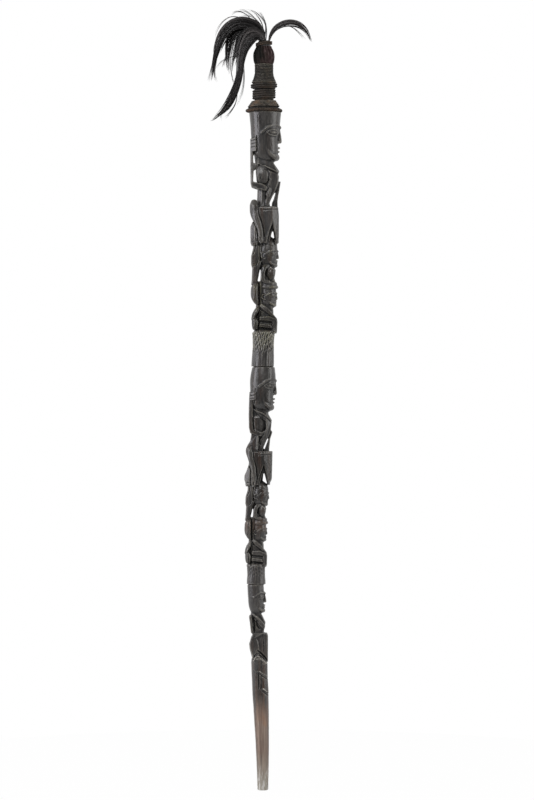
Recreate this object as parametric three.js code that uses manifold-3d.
// A ritual staff: one hardwood pole carved with seven stacked figures and two fluted bands, a bored
// peg at its top that holds a packed paste under a wooden plug, and a finial bound round the peg with
// pads, cords and cloth, from which five hanks of black hair rise and fall.
// Millimetres, +Z up along the staff, +X the way the figures face, origin at the middle of the foot.
import * as THREE from "three";
import { mergeVertices } from "three/addons/utils/BufferGeometryUtils.js";
import Module from "manifold-3d";

const wasm = await Module();
wasm.setup();

// Driving dimensions of the pole, from the foot up
const seatGap = 0.3; // between two pieces that touch
const overrun = 1; // how far a joined or cut form runs past its face
const shaft = { height: 199, footRadius: 10.5, topRadius: 16.2, chamfer: 2.5 };
const lobed = { height: 74, radius: 16.6, stand: 2 };
const kneeler = { height: 158, radius: 20.5 };
const lowerBand = { height: 40, radius: 19.4, waist: 18, flute: 1, groove: 1.6 };
const lowerCapped = { height: 101.5, radius: 24 };
const lowerBust = { height: 80, radius: 24.8, sink: 5 };
const lowerBig = { height: 242, radius: 27, sink: 2, crownShare: 0.88 };
const upperBand = { height: 73, radius: 22.8, waist: 20.4, flute: 1.1, groove: 1.6 };
const upperCapped = { height: 107, radius: 28 };
const upperBust = { height: 99, radius: 29, sink: 6 };
const upperBig = { height: 271, radius: 31, sink: 9, crownShare: 1.05 };

// The pole is not straight: it leans forward and is bowed back in its lower half
const lean = 5;
const bow = 16;
const bowSpan = 1000;

// The peg and what it holds
const peg = { radius: 16.5, height: 130, setBack: 2.5, edge: 2 };
const cavity = { radius: 6.5, depth: 72 };
const plug = { height: 14, taper: 0.5 };

// The binding, from the head up
const pad = { brimRadius: 32, brimHeight: 7, neckRadius: 20, coneHeight: 17.5 };
const rimRope = { cord: 6.4, turns: 0.92 };
const turbanCord = { cord: 3.6, turns: 4 };
const neckCord = { cord: 4.2, turns: 4 };
const ridgeCord = { cord: 3.6, turns: 2, padRadius: 24 };
const sleeve = { height: 38.5, flareRadius: 26, waistRadius: 18.8, ribHeight: 0.5, ribs: 7 };
const bulb = { height: 37.5, radius: 23.4, footRadius: 19.8, mouthRadius: 17, foldDepth: 1.1, folds: 9 };
const tieCord = { cord: 3.2, turns: 2 };
const turnGap = 0.45; // between one turn of a cord and the next
const plumeRoot = { radius: 14, rise: 1.5 };

// How finely round forms are cut
const ringSides = 12;
const smallHeadSides = 10;
const bodySides = 8;
const limbSides = 6;
const faceSides = 4;
const hankSides = 8;
const turnSteps = 24;
const cordSides = 6;

// Solids

function toSolid(geometry) {
  geometry.deleteAttribute("normal");
  geometry.deleteAttribute("uv");
  const merged = mergeVertices(geometry);
  return new wasm.Manifold(
    new wasm.Mesh({
      numProp: 3,
      vertProperties: merged.attributes.position.array,
      triVerts: new Uint32Array(merged.index.array),
    }),
  );
}

// Closes a skin over rings of equal count, each counter-clockwise as seen from the ring after it.
function skin(rings) {
  const sides = rings[0].length;
  const points = rings.flat();
  const faces = [];
  rings.slice(1).forEach((_, r) => {
    for (let i = 0; i < sides; i++) {
      const next = (i + 1) % sides;
      const [a, b] = [r * sides + i, r * sides + next];
      const [c, d] = [a + sides, b + sides];
      faces.push(a, b, d, a, d, c);
    }
  });
  const cap = (ring, offset, up) => {
    const middle = new THREE.Vector3();
    ring.forEach((p) => middle.addScaledVector(p, 1 / sides));
    points.push(middle);
    for (let i = 0; i < sides; i++) {
      const [a, b] = [offset + i, offset + ((i + 1) % sides)];
      faces.push(points.length - 1, up ? a : b, up ? b : a);
    }
  };
  cap(rings[0], 0, false);
  cap(rings.at(-1), (rings.length - 1) * sides, true);
  const geometry = new THREE.BufferGeometry();
  geometry.setAttribute(
    "position",
    new THREE.Float32BufferAttribute(points.flatMap((p) => [p.x, p.y, p.z]), 3),
  );
  geometry.setIndex(faces);
  return geometry;
}

// One level ring: a superellipse of half widths rx and ry, where power 2 is a plain ellipse.
function levelRing(x, z, rx, ry, power = 2, sides = ringSides) {
  return Array.from({ length: sides }, (_, i) => {
    const angle = ((i + 0.5) / sides) * 2 * Math.PI;
    const bend = (v) => Math.sign(v) * Math.abs(v) ** (2 / power);
    return new THREE.Vector3(x + rx * bend(Math.cos(angle)), ry * bend(Math.sin(angle)), z);
  });
}

// A tube through places, each { at, inPlane, across }: its half widths in the side view and along Y.
// A place may say which way the tube runs there, as one that stands square on a seat does.
function tube(places, sides = limbSides) {
  const rings = places.map(({ at, inPlane, across, heading }, i) => {
    const before = places[Math.max(i - 1, 0)].at;
    const after = places[Math.min(i + 1, places.length - 1)].at;
    const along = heading ?? after.clone().sub(before).normalize();
    const side = new THREE.Vector3(0, 1, 0).addScaledVector(along, -along.y).normalize();
    const outward = side.clone().cross(along);
    return Array.from({ length: sides }, (_, k) => {
      const angle = ((k + 0.5) / sides) * 2 * Math.PI;
      return at
        .clone()
        .addScaledVector(outward, inPlane * Math.cos(angle))
        .addScaledVector(side, across * Math.sin(angle));
    });
  });
  return toSolid(skin(rings));
}

// A side-view outline of [x, z] points, as thick as from one y to another.
function slab(outline, from, to) {
  const shape = new THREE.Shape(outline.map(([x, z]) => new THREE.Vector2(x, z)));
  const geometry = new THREE.ExtrudeGeometry(shape, { depth: to - from, bevelEnabled: false });
  return toSolid(geometry.rotateX(Math.PI / 2).translate(0, to, 0));
}

// A carver's frame: shares of a figure's own radius and height, turned into places on the pole
function frameOf({ base, height, radius }) {
  const at = ([x, y, z]) => new THREE.Vector3(x * radius, y * radius, base + z * height);
  const loft = (ringShares, sides) =>
    toSolid(
      skin(
        ringShares.map(([z, x, rx, ry, power]) =>
          levelRing(x * radius, base + z * height, rx * radius, ry * radius, power, sides),
        ),
      ),
    );
  const limb = (pathShares, mirrored = true) =>
    (mirrored ? [1, -1] : [1]).map((hand) =>
      tube(
        pathShares.map(([x, y, z, inPlane, across]) => ({
          at: at([x, hand * y, z]),
          inPlane: inPlane * radius,
          across: across * radius,
        })),
      ),
    );
  const board = (outlineShares, fromShare, toShare) => {
    const outline = outlineShares.map(([x, z]) => [x * radius, base + z * height]);
    const [from, to] = [fromShare * radius, toShare * radius];
    return from > 0 ? [slab(outline, from, to), slab(outline, -to, -from)] : [slab(outline, from, to)];
  };
  return { loft, limb, board, base, height, radius };
}

const join = (solids) => wasm.Manifold.union(solids.flat(Infinity));

// A carved face in the thirds of the drawing books: brow at two thirds of the face, nose to one third
const faceShares = {
  brow: [
    [-0.25, 0.95, 0.55, 0.08, 0.08],
    [0.3, 0.9, 0.69, 0.1, 0.1],
    [0.8, 0.45, 0.72, 0.1, 0.12],
    [1, 0.04, 0.68, 0.1, 0.12],
  ],
  socket: [
    [0.02, 0.98, 0.55, 0.06, 0.08],
    [0.55, 0.84, 0.59, 0.19, 0.16],
    [1, 0.32, 0.57, 0.14, 0.15],
  ],
  eye: [
    [0.12, 0.9, 0.535, 0.03, 0.06],
    [0.5, 0.78, 0.56, 0.15, 0.12],
    [0.82, 0.48, 0.54, 0.03, 0.06],
  ],
  nose: [
    [0.7, 0.78, 1.02, 0.1],
    [0.36, 0.7, 1.06, 0.27],
    [0.325, 0.72, 1.04, 0.25],
  ],
  jaw: [
    [0.31, 0.1, 0.88, 0.4],
    [0.23, 0.1, 0.98, 0.48],
    [0.195, 0.1, 0.91, 0.45],
    [0.16, 0.1, 0.96, 0.47],
    [0.12, 0.1, 0.9, 0.46],
    [-0.01, 0.1, 0.96, 0.48],
  ],
  ear: [
    [-0.34, 0.9, 0.34, 0.06, 0.1],
    [-0.6, 0.77, 0.4, 0.08, 0.14],
    [-0.64, 0.74, 0.56, 0.08, 0.14],
    [-0.38, 0.88, 0.64, 0.06, 0.1],
  ],
};

const ridgeShare = 0.35;
const lipShare = 0.62;

// The face's forms on a head: middle x, half depth and half width, and the face from chin to hairline.
function faceForms({ x, depth, width, chin, rise, eyed }) {
  const place = (u, v, w) => new THREE.Vector3(x + u * depth, v * width, chin + w * rise);
  const strip = (shares) =>
    [1, -1].map((hand) =>
      tube(
        shares.map(([u, v, w, inPlane, across]) => ({
          at: place(u, hand * v, w),
          inPlane: inPlane * depth,
          across: across * width,
        })),
        faceSides,
      ),
    );
  const wedge = toSolid(
    skin(
      faceShares.nose.toReversed().map(([w, back, front, half]) => [
        place(back, half, w),
        place(back, -half, w),
        place(front, -half * ridgeShare, w),
        place(front, half * ridgeShare, w),
      ]),
    ),
  );
  const jaw = toSolid(
    skin(
      faceShares.jaw.toReversed().map(([w, back, front, half]) => [
        place(back, half, w),
        place(back, -half, w),
        place(front, -half * lipShare, w),
        place(front, half * lipShare, w),
      ]),
    ),
  );
  return {
    added: [wedge, jaw, strip(faceShares.brow)],
    cut: strip(faceShares.socket),
    after: [eyed ? strip(faceShares.eye) : [], strip(faceShares.ear)],
  };
}

// A head loft with its face joined on, its eye hollows cut and its eyes and ears set in.
function headWith(loft, face) {
  const forms = faceForms(face);
  return join([join([loft, forms.added]).subtract(join([forms.cut])), forms.after]);
}

// The large squatting figure: hands raised to its nape, a second pair of arms down to its knees
const bigShares = {
  head: [
    [0.635, 0.03, 0.72, 0.6, 2.6],
    [0.7, 0, 0.86, 0.8, 2.2],
    [0.8, -0.03, 0.92, 0.9],
    [0.9, 0, 0.98, 0.96],
  ],
  trunk: [
    [0, -0.2, 0.58, 0.56],
    [0.2, -0.16, 0.68, 0.62],
    [0.3, -0.12, 0.5, 0.48],
    [0.37, -0.08, 0.5, 0.46],
    [0.43, 0.08, 0.7, 0.6],
    [0.53, 0.14, 0.8, 0.64],
    [0.58, 0.02, 0.64, 0.58],
    [0.65, -0.08, 0.54, 0.5],
  ],
  raisedArm: [
    [-0.62, 0.14, 0.8, 0.22, 0.18],
    [-0.86, 0.26, 0.74, 0.18, 0.24],
    [-0.88, 0.44, 0.62, 0.15, 0.2],
    [-0.88, 0.58, 0.48, 0.15, 0.2],
    [-0.8, 0.66, 0.41, 0.2, 0.22],
    [-0.35, 0.68, 0.39, 0.2, 0.2],
    [0.25, 0.62, 0.425, 0.19, 0.2],
  ],
  loweredArm: [
    [-0.1, 0.5, 0.585, 0.2, 0.22],
    [0.5, 0.52, 0.555, 0.2, 0.24],
    [0.8, 0.48, 0.5, 0.18, 0.22],
    [0.72, 0.46, 0.415, 0.17, 0.2],
    [0.42, 0.44, 0.33, 0.15, 0.18],
    [0.34, 0.42, 0.24, 0.15, 0.18],
  ],
  strut: [
    [0.7, 0, 0.22, 0.16, 0.18],
    [0.84, 0, 0.34, 0.1, 0.15],
    [0.96, 0, 0.445, 0.08, 0.14],
  ],
  hip: [
    [-0.2, 0.36, 0.33, 0.22, 0.26],
    [-0.74, 0.44, 0.275, 0.28, 0.32],
    [-0.74, 0.5, 0.19, 0.26, 0.3],
    [-0.36, 0.52, 0.08, 0.26, 0.28],
  ],
  leg: [
    [0.34, 0.46, 0.27, 0.54, 0.24],
    [0.36, 0.54, 0.24, 0.7, 0.36],
    [0.4, 0.56, 0.135, 0.66, 0.34],
    [0.78, 0.52, 0.085, 0.24, 0.26],
    [0.86, 0.46, -0.006, 0.1, 0.18],
  ],
  heel: [
    [-0.66, 0.34, 0.18, 0.18, 0.24],
    [-0.74, 0.44, 0.1, 0.28, 0.32],
    [-0.74, 0.42, 0, 0.27, 0.32],
    [-0.6, 0.34, -0.04, 0.16, 0.24],
  ],
  apron: [
    [-0.3, 0.13],
    [-0.3, 0.25],
    [0.86, 0.262],
    [0.92, 0.16],
    [0.5, 0.12],
  ],
};
const bigFaceShares = { x: 0, depth: 1, width: 0.98, chin: 0.632, rise: 0.368 };
const apronShare = 0.36;

function bigFigure(frame, crownShare) {
  const crown = [1, 0, crownShare, crownShare * 0.98];
  const f = bigFaceShares;
  const head = headWith(frame.loft([...bigShares.head, crown]), {
    x: f.x * frame.radius,
    depth: f.depth * frame.radius,
    width: f.width * frame.radius,
    chin: frame.base + f.chin * frame.height,
    rise: f.rise * frame.height,
    eyed: true,
  });
  return join([
    head,
    frame.loft(bigShares.trunk, bodySides),
    frame.limb(bigShares.raisedArm),
    frame.limb(bigShares.loweredArm),
    frame.limb(bigShares.strut, false),
    frame.limb(bigShares.hip),
    frame.limb(bigShares.leg),
    frame.limb(bigShares.heel),
    frame.board(bigShares.apron, -apronShare, apronShare),
  ]);
}

// The small bust, whose head carries the large figure's feet
const bustShares = {
  head: [
    [0.38, 0.16, 0.46, 0.44, 2.4],
    [0.5, 0.2, 0.62, 0.62],
    [0.68, 0.24, 0.69, 0.72],
    [0.85, 0.26, 0.63, 0.66],
    [0.95, 0.25, 0.46, 0.5],
    [1.01, 0.23, 0.24, 0.26],
  ],
  trunk: [
    [-0.03, 0.1, 0.6, 0.58],
    [0.1, 0.13, 0.56, 0.52],
    [0.24, 0.14, 0.58, 0.6],
    [0.36, 0.1, 0.46, 0.5],
    [0.42, 0.1, 0.4, 0.42],
  ],
  arm: [
    [0.1, 0.42, 0.36, 0.24, 0.2],
    [-0.1, 0.56, 0.28, 0.26, 0.22],
    [-0.12, 0.6, 0.14, 0.22, 0.2],
    [0.05, 0.6, 0.05, 0.2, 0.2],
    [0.6, 0.44, 0.13, 0.18, 0.18],
  ],
  column: [
    [-0.5, 0, 1, 0.46, 0.62],
    [-0.64, 0, 0.76, 0.42, 0.6],
    [-0.76, 0, 0.5, 0.34, 0.62],
    [-0.76, 0, 0.3, 0.24, 0.5],
    [-0.76, 0, -0.05, 0.24, 0.5],
  ],
  nape: [
    [0.36, -0.26, 0.46, 0.48],
    [0.6, -0.3, 0.54, 0.56],
    [1, -0.3, 0.56, 0.58],
  ],
};
const bustFaceShares = { x: 0.24, depth: 0.7, width: 0.72, chin: 0.38, rise: 0.47 };

function bust(frame) {
  const f = bustFaceShares;
  const head = headWith(frame.loft(bustShares.head, smallHeadSides), {
    x: f.x * frame.radius,
    depth: f.depth * frame.radius,
    width: f.width * frame.radius,
    chin: frame.base + f.chin * frame.height,
    rise: f.rise * frame.height,
  });
  return join([
    head,
    frame.loft(bustShares.trunk, bodySides),
    frame.loft(bustShares.nape, bodySides),
    frame.limb(bustShares.arm),
    frame.limb(bustShares.column, false),
  ]);
}

// The small seated figure in a brimmed cap, its legs folded under it
const cappedShares = {
  cap: [
    [0.85, 0.3, 0.56, 0.62],
    [0.875, 0.32, 0.66, 0.7],
    [0.95, 0.32, 0.64, 0.7],
    [1.01, 0.26, 0.46, 0.56],
  ],
  head: [
    [0.52, 0.22, 0.5, 0.46, 2.4],
    [0.62, 0.24, 0.58, 0.6],
    [0.75, 0.27, 0.6, 0.66],
    [0.87, 0.28, 0.58, 0.62],
  ],
  trunk: [
    [0.16, 0.12, 0.64, 0.64],
    [0.32, 0.14, 0.58, 0.6],
    [0.46, 0.14, 0.54, 0.56],
    [0.54, 0.16, 0.42, 0.44],
  ],
  arm: [
    [0.1, 0.44, 0.51, 0.24, 0.22],
    [-0.1, 0.56, 0.42, 0.24, 0.22],
    [-0.06, 0.62, 0.3, 0.2, 0.2],
    [0.7, 0.5, 0.28, 0.17, 0.2],
  ],
  lap: [
    [-0.06, 0.08, 0.7, 0.66, 3],
    [-0.02, 0.12, 0.8, 0.78, 3],
    [0.04, 0.1, 0.68, 0.64, 3],
    [0.09, 0.12, 0.84, 0.8, 3],
    [0.145, 0.1, 0.7, 0.66, 3],
    [0.2, 0.13, 0.84, 0.8, 3],
    [0.25, 0.1, 0.66, 0.66, 3],
  ],
  haunch: [
    [-0.56, 0.2, 1, 0.22, 0.26],
    [-0.72, 0.38, 0.84, 0.36, 0.38],
    [-0.56, 0.34, 0.54, 0.24, 0.32],
    [-0.7, 0.38, 0.22, 0.34, 0.36],
    [-0.7, 0.38, -0.04, 0.34, 0.36],
  ],
  core: [
    [-0.04, -0.2, 0.54, 0.64],
    [0.2, -0.2, 0.5, 0.6],
    [0.6, -0.2, 0.46, 0.5],
    [1, -0.2, 0.5, 0.54],
  ],
};
const cappedFaceShares = { x: 0.26, depth: 0.64, width: 0.68, chin: 0.52, rise: 0.36 };

function cappedFigure(frame) {
  const f = cappedFaceShares;
  const head = headWith(frame.loft(cappedShares.head, smallHeadSides), {
    x: f.x * frame.radius,
    depth: f.depth * frame.radius,
    width: f.width * frame.radius,
    chin: frame.base + f.chin * frame.height,
    rise: f.rise * frame.height,
  });
  return join([
    head,
    frame.loft(cappedShares.cap, smallHeadSides),
    frame.loft(cappedShares.trunk, bodySides),
    frame.loft(cappedShares.lap, bodySides),
    frame.loft(cappedShares.core, bodySides),
    frame.limb(cappedShares.arm),
    frame.limb(cappedShares.haunch),
  ]);
}

// The lowest figure, which kneels on the plain shaft
const kneelerShares = {
  head: [
    [0.64, -0.06, 0.62, 0.6, 2.4],
    [0.72, -0.08, 0.74, 0.76],
    [0.84, -0.06, 0.82, 0.84],
    [0.93, -0.06, 0.84, 0.87],
    [1, -0.08, 0.84, 0.87],
  ],
  trunk: [
    [0.3, -0.02, 0.6, 0.6],
    [0.37, -0.02, 0.56, 0.54],
    [0.46, 0.06, 0.62, 0.56],
    [0.55, 0, 0.6, 0.54],
    [0.64, -0.12, 0.5, 0.48],
  ],
  arm: [
    [-0.3, 0.4, 0.62, 0.22, 0.22],
    [-0.54, 0.5, 0.55, 0.27, 0.26],
    [-0.56, 0.54, 0.42, 0.24, 0.24],
    [-0.3, 0.58, 0.35, 0.2, 0.22],
    [0.3, 0.54, 0.44, 0.19, 0.2],
    [0.6, 0.36, 0.51, 0.16, 0.18],
  ],
  lap: [
    [-0.06, 0.04, 0.88, 0.84],
    [0.1, 0.04, 0.88, 0.84],
    [0.2, 0.02, 0.92, 0.82],
    [0.28, 0.1, 0.76, 0.74],
    [0.36, 0.02, 0.6, 0.62],
  ],
  knee: [
    [0.3, 0.4, 0.36, 0.4, 0.22],
    [0.42, 0.48, 0.32, 0.58, 0.34],
    [0.46, 0.5, 0.16, 0.54, 0.36],
    [0.4, 0.46, -0.06, 0.56, 0.36],
  ],
};
const kneelerFaceShares = { x: -0.06, depth: 0.94, width: 0.86, chin: 0.64, rise: 0.36 };

function kneelingFigure(frame) {
  const f = kneelerFaceShares;
  const head = headWith(frame.loft(kneelerShares.head, smallHeadSides), {
    x: f.x * frame.radius,
    depth: f.depth * frame.radius,
    width: f.width * frame.radius,
    chin: frame.base + f.chin * frame.height,
    rise: f.rise * frame.height,
  });
  return join([
    head,
    frame.loft(kneelerShares.trunk, bodySides),
    frame.loft(kneelerShares.lap, bodySides),
    frame.limb(kneelerShares.arm),
    frame.limb(kneelerShares.knee),
  ]);
}

// Three lobes that overlap down the front of the shaft, each with a lower edge that slants forward
const lobeShares = [
  [[-0.6, 1.3], [-0.6, 1.06], [-0.1, 1.16], [1.2, 0.78], [1.2, 1.3]],
  [[0.1, 1.1], [0.06, 0.68], [1.2, 0.4], [1.2, 1.1]],
  [[0.5, 0.7], [0.37, 0.18], [1.2, 0], [1.2, 0.7]],
];

function lobes(frame, stand) {
  return lobeShares.map((outline, i) => {
    const width = 1 + (stand / frame.radius) * (1 - i / lobeShares.length);
    return frame.board(outline, -width, width);
  });
}

// A waisted band with a flute all round for each of its turns, and a groove at its foot
const bandShares = [
  [0, 1],
  [0.25, 0.7],
  [0.5, 0.1],
  [0.75, 0.2],
  [1, 1],
];
const bandFlutes = 16;

function flutedBand({ height, radius, waist, flute, groove }, base) {
  const ring = (z, r, depth) =>
    Array.from({ length: 2 * bandFlutes }, (_, i) => {
      const angle = (i / bandFlutes) * Math.PI;
      const reach = r - (i % 2) * depth;
      return new THREE.Vector3(reach * Math.cos(angle), reach * Math.sin(angle), z);
    });
  const rings = bandShares.map(([share, swell]) =>
    ring(base + groove + share * (height - groove), waist + swell * (radius - waist), flute),
  );
  const foot = toSolid(
    skin([
      levelRing(0, base - overrun, waist - groove, waist - groove),
      levelRing(0, base + groove + overrun, waist - groove, waist - groove),
    ]),
  );
  return join([toSolid(skin(rings)), foot]);
}

// The pole: everything stacked from the foot up

const forms = [];
let level = shaft.height;
const stand = (size, build) => {
  const base = level - (size.sink ?? 0);
  forms.push(build(base));
  level = base + size.height;
};
const figure = (size, build) =>
  stand(size, (base) => {
    const frame = frameOf({ base, height: size.height, radius: size.radius });
    return build(frame, size.crownShare);
  });

const plain = (levels) =>
  toSolid(skin(levels.map(([z, radius]) => levelRing(0, z, radius, radius))));
const shaftTop = shaft.height + lobed.height;
forms.push(
  plain([
    [0, shaft.footRadius - shaft.chamfer],
    [shaft.chamfer, shaft.footRadius],
    [shaft.height, shaft.topRadius],
    [shaftTop + overrun, lobed.radius],
  ]),
);
const lobedFrame = frameOf({ base: shaft.height, height: lobed.height, radius: lobed.radius });
const lobedRiseShare = 0.3; // how far the top lobe runs up under the kneeling figure
const lobedReach = lobed.radius + lobed.stand;
const lobedEnvelope = plain([
  [shaft.height - overrun, lobedReach - lobed.stand / 2],
  [shaftTop + lobedRiseShare * lobed.height, lobedReach],
]);
forms.push(join(lobes(lobedFrame, lobed.stand)).intersect(lobedEnvelope));
level = shaftTop;

figure(kneeler, kneelingFigure);
stand(lowerBand, (base) => flutedBand(lowerBand, base));
figure(lowerCapped, cappedFigure);
figure(lowerBust, bust);
figure(lowerBig, bigFigure);
stand(upperBand, (base) => flutedBand(upperBand, base));
figure(upperCapped, cappedFigure);
figure(upperBust, bust);
figure(upperBig, bigFigure);

const headTop = level;
const pegAxis = -peg.setBack;
const pegTop = headTop + peg.height;
const roundBar = (z0, z1, r0, r1 = r0, sides = ringSides) =>
  toSolid(skin([levelRing(pegAxis, z0, r0, r0, 2, sides), levelRing(pegAxis, z1, r1, r1, 2, sides)]));
forms.push(roundBar(headTop - overrun, pegTop - peg.edge, peg.radius));
forms.push(roundBar(pegTop - peg.edge - seatGap, pegTop, peg.radius, peg.radius - peg.edge));
const cavityFloor = pegTop - cavity.depth;
const carved = join(forms).subtract(roundBar(cavityFloor, pegTop + overrun, cavity.radius));

// How far the pole's middle stands forward of the foot at a height
function sway(z) {
  const forward = lean * Math.min(z / headTop, 1);
  const back = z < bowSpan ? bow * Math.sin((Math.PI * z) / bowSpan) ** 2 : 0;
  return forward - back;
}

const wood = (hex, roughness) => new THREE.MeshStandardMaterial({ color: hex, roughness });
const staff = new THREE.Group();

function addPiece(name, geometry, material, x = 0, z = 0) {
  const mesh = new THREE.Mesh(geometry, material);
  mesh.name = name;
  mesh.position.set(x, 0, z);
  staff.add(mesh);
  return mesh;
}

function fromSolid(solid) {
  const mesh = solid.getMesh();
  const geometry = new THREE.BufferGeometry();
  geometry.setAttribute("position", new THREE.BufferAttribute(mesh.vertProperties, mesh.numProp));
  geometry.setIndex(new THREE.BufferAttribute(mesh.triVerts, 1));
  return geometry;
}

const carvedGeometry = fromSolid(carved);
const carvedPoints = carvedGeometry.attributes.position;
for (let i = 0; i < carvedPoints.count; i++) {
  carvedPoints.setX(i, carvedPoints.getX(i) + sway(carvedPoints.getZ(i)));
}
addPiece("carved_staff", carvedGeometry, wood(0x2b2724, 0.45));

// What the peg holds: the paste and its plug, made about the peg's own axis
const finialX = sway(headTop) + pegAxis;
const about = (rings) => skin(rings.map(([z, r]) => levelRing(0, z, r, r)));
const plugFoot = cavity.depth - plug.height;
const fillRadius = cavity.radius - seatGap;
addPiece(
  "pupuk_paste",
  about([
    [seatGap, fillRadius],
    [plugFoot - seatGap, fillRadius],
  ]),
  new THREE.MeshStandardMaterial({ color: 0x1c120c, roughness: 0.9 }),
  finialX,
  cavityFloor,
);
addPiece(
  "cavity_plug",
  about([
    [plugFoot, fillRadius - plug.taper],
    [cavity.depth, fillRadius],
  ]),
  wood(0x4a3626, 0.6),
  finialX,
  cavityFloor,
);

// The binding round the peg

const cordMaterial = (hex) => new THREE.MeshStandardMaterial({ color: hex, roughness: 0.85 });
const boreRadius = peg.radius + seatGap;

// A sleeve turned about the peg, from its outer profile and the bore's radius.
function turned(profile, bore) {
  const points = [
    new THREE.Vector2(bore, profile[0][1]),
    ...profile.map(([r, z]) => new THREE.Vector2(r, z)),
    new THREE.Vector2(bore, profile.at(-1)[1]),
    new THREE.Vector2(bore, profile[0][1]),
  ];
  return new THREE.LatheGeometry(points, turnSteps).rotateX(Math.PI / 2);
}

// A cord wound as one unbroken tube from one [radius, height] to another, starting on the far side.
// Each end runs straight on for one diameter and is cut square.
function winding(name, { cord, turns }, from, to) {
  const steps = Math.round(turns * turnSteps);
  const onTurn = (share, onward = 0) => {
    const angle = Math.PI / 2 + share * turns * 2 * Math.PI;
    const r = THREE.MathUtils.lerp(from[0], to[0], share);
    const z = THREE.MathUtils.lerp(from[1], to[1], share);
    const [c, s] = [Math.cos(angle), Math.sin(angle)];
    return new THREE.Vector3(r * c - onward * s, r * s + onward * c, z);
  };
  const turnPlaces = Array.from({ length: steps + 1 }, (_, i) => onTurn(i / steps));
  const middles = [onTurn(0, -cord), ...turnPlaces, onTurn(1, cord)];
  const rings = middles.map((middle, i) => {
    const after = middles[Math.min(i + 1, middles.length - 1)];
    const along = after.clone().sub(middles[Math.max(i - 1, 0)]).normalize();
    const outward = new THREE.Vector3(middle.x, middle.y, 0);
    outward.addScaledVector(along, -outward.dot(along)).normalize();
    const up = along.clone().cross(outward);
    return Array.from({ length: cordSides }, (_, k) => {
      const angle = (k / cordSides) * 2 * Math.PI;
      return middle
        .clone()
        .addScaledVector(outward, (cord / 2) * Math.cos(angle))
        .addScaledVector(up, (cord / 2) * Math.sin(angle));
    });
  });
  let least = Infinity;
  rings.forEach((ring, i) => {
    const farEnough = rings.slice(i + Math.round(turnSteps / 2));
    farEnough.forEach((other) =>
      ring.forEach((p) => other.forEach((q) => (least = Math.min(least, p.distanceTo(q))))),
    );
  });
  if (Number.isFinite(least)) console.log(name + " least gap to itself " + least.toFixed(2) + " mm");
  return skin(rings);
}

const brown = 0x4b3a2b;
const black = 0x1b1815;

// The turban: a pad with a brim, a rope round the brim and a cord wound up the cone
const padFoot = headTop + seatGap;
const coneFoot = pad.brimHeight;
const padTop = coneFoot + pad.coneHeight;
addPiece(
  "turban_pad",
  turned(
    [
      [pad.brimRadius, 0],
      [pad.brimRadius, coneFoot],
      [pad.neckRadius, padTop],
    ],
    boreRadius,
  ),
  cordMaterial(0x3a2e24),
  finialX,
  padFoot,
);
const ropeRing = [pad.brimRadius + seatGap + rimRope.cord / 2, rimRope.cord / 2];
addPiece(
  "turban_rim_rope",
  winding("turban_rim_rope", rimRope, ropeRing, ropeRing),
  cordMaterial(0x3b2a20),
  finialX,
  padFoot,
);
const slope = Math.atan2(pad.coneHeight, pad.brimRadius - pad.neckRadius);
const offCone = turbanCord.cord / 2 + seatGap * 2;
const coneRun = turbanCord.turns * (turbanCord.cord + turnGap);
const coneTopZ = padTop - turbanCord.cord / 2 - seatGap;
const onCone = (down) => {
  const along = (padTop - coneTopZ) / Math.sin(slope) + down;
  return [
    pad.neckRadius + along * Math.cos(slope) + offCone * Math.sin(slope),
    padTop - along * Math.sin(slope) + offCone * Math.cos(slope),
  ];
};
addPiece(
  "turban_winding",
  winding("turban_winding", turbanCord, onCone(coneRun), onCone(0)),
  cordMaterial(brown),
  finialX,
  padFoot,
);

// The neck: a pad wound with a black cord, then two turns of a thinner one that stand out as a ridge
const neckFoot = padFoot + onCone(0)[1] + turbanCord.cord / 2 + seatGap;
const neckRun = neckCord.turns * (neckCord.cord + turnGap);
const neckPadRadius = pad.neckRadius;
const neckHeight = neckRun + neckCord.cord + seatGap * 2;
const ridgeRun = ridgeCord.turns * (ridgeCord.cord + turnGap);
const ridgeHeight = ridgeRun + ridgeCord.cord + seatGap;
addPiece(
  "neck_pad",
  turned(
    [
      [neckPadRadius, 0],
      [neckPadRadius, neckHeight],
      [ridgeCord.padRadius, neckHeight],
      [ridgeCord.padRadius, neckHeight + ridgeHeight],
    ],
    boreRadius,
  ),
  cordMaterial(0x2a231d),
  finialX,
  neckFoot,
);
const wound = (cord, radius, foot, run) => [
  [radius + seatGap + cord / 2, foot + cord / 2],
  [radius + seatGap + cord / 2, foot + cord / 2 + run],
];
const neckWound = wound(neckCord.cord, neckPadRadius, seatGap, neckRun);
addPiece(
  "neck_winding",
  winding("neck_winding", neckCord, ...neckWound),
  cordMaterial(black),
  finialX,
  neckFoot,
);
const ridgeWound = wound(ridgeCord.cord, ridgeCord.padRadius, neckHeight + seatGap, ridgeRun);
addPiece(
  "ridge_winding",
  winding("ridge_winding", ridgeCord, ...ridgeWound),
  cordMaterial(black),
  finialX,
  neckFoot,
);

// The woven sleeve, flared at its foot and ribbed all the way up
const sleeveFoot = neckFoot + neckHeight + ridgeHeight + seatGap * 2;
const sleeveSteps = 2 * sleeve.ribs;
const flareShare = 0.55;
const flarePower = 1.6;
const sleeveProfile = Array.from({ length: sleeveSteps + 1 }, (_, i) => {
  const share = i / sleeveSteps;
  const flare = Math.max(0, 1 - share / flareShare) ** flarePower;
  const rib = i % 2 ? sleeve.ribHeight : 0;
  const radius = sleeve.waistRadius + flare * (sleeve.flareRadius - sleeve.waistRadius) + rib;
  return [radius, share * sleeve.height];
});
addPiece(
  "woven_sleeve",
  turned(sleeveProfile, boreRadius),
  cordMaterial(0x3c372d),
  finialX,
  sleeveFoot,
);

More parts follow.
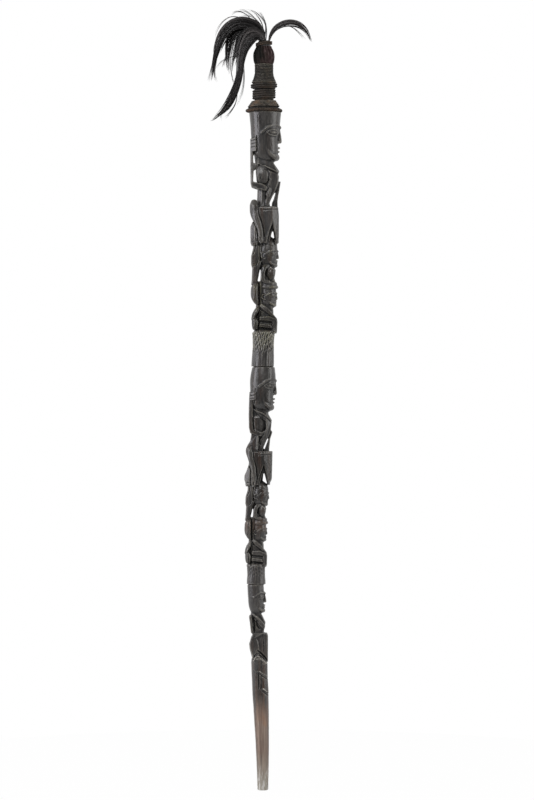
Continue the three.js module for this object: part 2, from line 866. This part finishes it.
// The bulb: cloth gathered over the peg's end and the roots of the hair, in upright folds
const bulbFoot = sleeveFoot + sleeve.height + seatGap;
const bulbShares = [
  [0, 0],
  [0.12, 0.6],
  [0.4, 1],
  [0.7, 0.75],
  [0.9, 0.15],
];
const bulbRing = (z, r, fold) =>
  Array.from({ length: 2 * bulb.folds }, (_, i) => {
    const angle = (i / bulb.folds) * Math.PI;
    const reach = r - (i % 2) * fold;
    return new THREE.Vector3(reach * Math.cos(angle), reach * Math.sin(angle), z);
  });
const bulbSkin = bulbShares.map(([share, swell]) => {
  const start = THREE.MathUtils.lerp(bulb.footRadius, bulb.mouthRadius, share);
  return bulbRing(share * bulb.height, start + swell * (bulb.radius - start), bulb.foldDepth);
});
bulbSkin.push(bulbRing(bulb.height, bulb.mouthRadius + bulb.foldDepth, bulb.foldDepth));
const boredBar = (z0, z1, r) => toSolid(about([[z0, r], [z1, r]]));
const rootFoot = pegTop - bulbFoot + seatGap;
const bulbSolid = toSolid(skin(bulbSkin))
  .subtract(boredBar(-overrun, rootFoot, boreRadius))
  .subtract(boredBar(rootFoot - overrun, bulb.height + overrun, plumeRoot.radius + seatGap));
addPiece(
  "gathered_cloth",
  fromSolid(bulbSolid),
  new THREE.MeshStandardMaterial({ color: 0x2c1d1a, roughness: 0.8 }),
  finialX,
  bulbFoot,
);

// The cord that ties the cloth and the hair together
const tieFoot = bulbFoot + bulb.height + seatGap;
const tieRun = tieCord.turns * (tieCord.cord + turnGap);
const tieWound = wound(tieCord.cord, plumeRoot.radius, 0, tieRun);
addPiece(
  "top_tie_cord",
  winding("top_tie_cord", tieCord, ...tieWound),
  cordMaterial(0x3a2419),
  finialX,
  tieFoot,
);
const rootTop = tieFoot + tieRun + tieCord.cord + plumeRoot.rise;
addPiece(
  "hair_roots",
  about([
    [0, plumeRoot.radius],
    [rootTop - pegTop - seatGap, plumeRoot.radius],
  ]),
  new THREE.MeshStandardMaterial({ color: 0x0d0b0b, roughness: 0.4 }),
  finialX,
  pegTop + seatGap,
);

// The plume: hanks of hair that rise from the roots and fall to their own lengths.
// Each row is x and height over the roots, as shares of the plume's reach, then the half width in the
// side view and along Y, as shares of the hank's own width and thickness.
const plume = { reach: 118, width: 19, thickness: 6, layer: 12.6, rootLayer: 8.6 };
const hankShares = {
  near_long_hank: {
    layerShare: -1,
    path: [
      [-0.027, 0.003, 0.3, 0.6],
      [-0.07, 0.1, 0.52, 0.8],
      [-0.17, 0.17, 0.7, 1],
      [-0.28, 0.14, 0.74, 1],
      [-0.35, 0, 0.74, 1],
      [-0.4, -0.19, 0.68, 1],
      [-0.42, -0.41, 0.5, 1],
      [-0.44, -0.65, 0.42, 1],
      [-0.52, -0.9, 0.48, 0.9],
      [-0.64, -1.14, 0.48, 0.8],
      [-0.79, -1.31, 0.28, 0.6],
      [-0.96, -1.44, 0.08, 0.3],
    ],
  },
  middle_hank: {
    layerShare: 0,
    path: [
      [-0.039, 0.003, 0.3, 0.62],
      [-0.09, 0.15, 0.5, 0.8],
      [-0.21, 0.28, 0.7, 1],
      [-0.39, 0.32, 0.76, 1],
      [-0.58, 0.27, 0.72, 1],
      [-0.72, 0.11, 0.68, 1],
      [-0.81, -0.09, 0.52, 1],
      [-0.87, -0.3, 0.32, 0.9],
      [-0.91, -0.49, 0.22, 0.7],
      [-0.95, -0.71, 0.07, 0.3],
    ],
  },
  far_hank: {
    layerShare: 1,
    path: [
      [-0.027, 0.003, 0.2, 0.6],
      [-0.07, 0.13, 0.45, 0.8],
      [-0.19, 0.24, 0.7, 1],
      [-0.33, 0.28, 0.78, 1],
      [-0.46, 0.21, 0.78, 1],
      [-0.55, 0.06, 0.7, 1],
      [-0.6, -0.14, 0.5, 0.9],
      [-0.62, -0.33, 0.28, 0.6],
      [-0.6, -0.55, 0.08, 0.3],
    ],
  },
  front_curl: {
    layerShare: 0,
    path: [
      [0.089, 0.003, 0.1, 0.5],
      [0.12, 0.11, 0.15, 0.6],
      [0.2, 0.23, 0.2, 0.8],
      [0.33, 0.31, 0.26, 0.9],
      [0.48, 0.33, 0.28, 0.9],
      [0.63, 0.29, 0.28, 0.8],
      [0.76, 0.17, 0.2, 0.6],
      [0.85, -0.03, 0.07, 0.3],
    ],
  },
  top_wisp: {
    layerShare: 0,
    path: [
      [0.035, 0.003, 0.07, 0.4],
      [0.05, 0.16, 0.07, 0.4],
      [0.03, 0.3, 0.07, 0.5],
      [-0.05, 0.43, 0.08, 0.6],
      [-0.17, 0.53, 0.08, 0.6],
      [-0.33, 0.56, 0.05, 0.3],
    ],
  },
};
const hankSteps = 2; // tube rings between two rows of a path
const hair = new THREE.MeshStandardMaterial({ color: 0x0c0b0c, roughness: 0.35 });
for (const [name, { layerShare, path }] of Object.entries(hankShares)) {
  const rows = path.map(([x, z, w, t], i) => {
    const layer = i === 0 ? plume.rootLayer : plume.layer;
    return {
      at: new THREE.Vector3(x * plume.reach, layerShare * layer, z * plume.reach),
      inPlane: w * plume.width,
      across: t * plume.thickness,
    };
  });
  const route = new THREE.CatmullRomCurve3(rows.map((row) => row.at));
  const places = Array.from({ length: (rows.length - 1) * hankSteps + 1 }, (_, i) => {
    const row = Math.min(Math.floor(i / hankSteps), rows.length - 2);
    const share = i / hankSteps - row;
    return {
      at: route.getPoint(i / hankSteps / (rows.length - 1)),
      inPlane: THREE.MathUtils.lerp(rows[row].inPlane, rows[row + 1].inPlane, share),
      across: THREE.MathUtils.lerp(rows[row].across, rows[row + 1].across, share),
      heading: i === 0 ? new THREE.Vector3(0, 0, 1) : undefined,
    };
  });
  addPiece(name, fromSolid(tube(places, hankSides)), hair, finialX, rootTop + seatGap);
}

export default staff;
